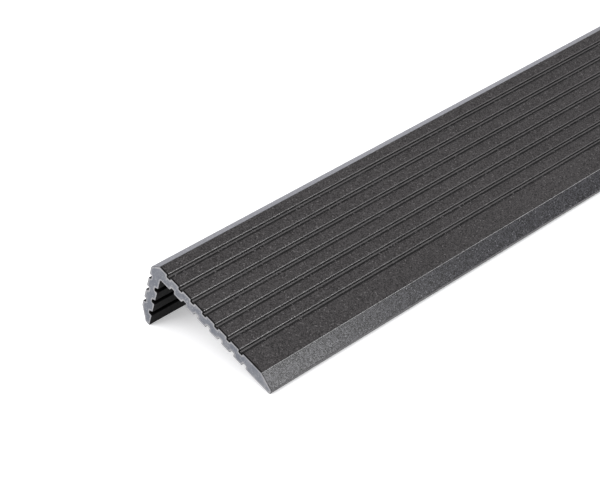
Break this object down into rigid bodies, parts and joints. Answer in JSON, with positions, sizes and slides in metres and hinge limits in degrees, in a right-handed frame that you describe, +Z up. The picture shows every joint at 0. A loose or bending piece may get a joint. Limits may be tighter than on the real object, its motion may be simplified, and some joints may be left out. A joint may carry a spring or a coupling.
{
  "type": "composite decking corner trim",
  "caption": "Grooved L-section corner trim in dark wood-plastic composite, with a chamfered outer corner, bevelled toes and notched inner faces.",
  "frame": {"origin": "middle of the piece, on the level floor that its two toes rest on", "axes": "+X across towards the long leg's toe, +Y along the length, +Z up; the outer corner points up"},
  "size_m": [0.084, 2.2, 0.0363],
  "materials": {
    "composite": "matte extruded wood-plastic composite, dark charcoal with fine pale flecks, paler where it is sawn or sanded"
  },
  "bodies": {
    "root": {"corner_trim": "composite"}
  },
  "joints": []
}
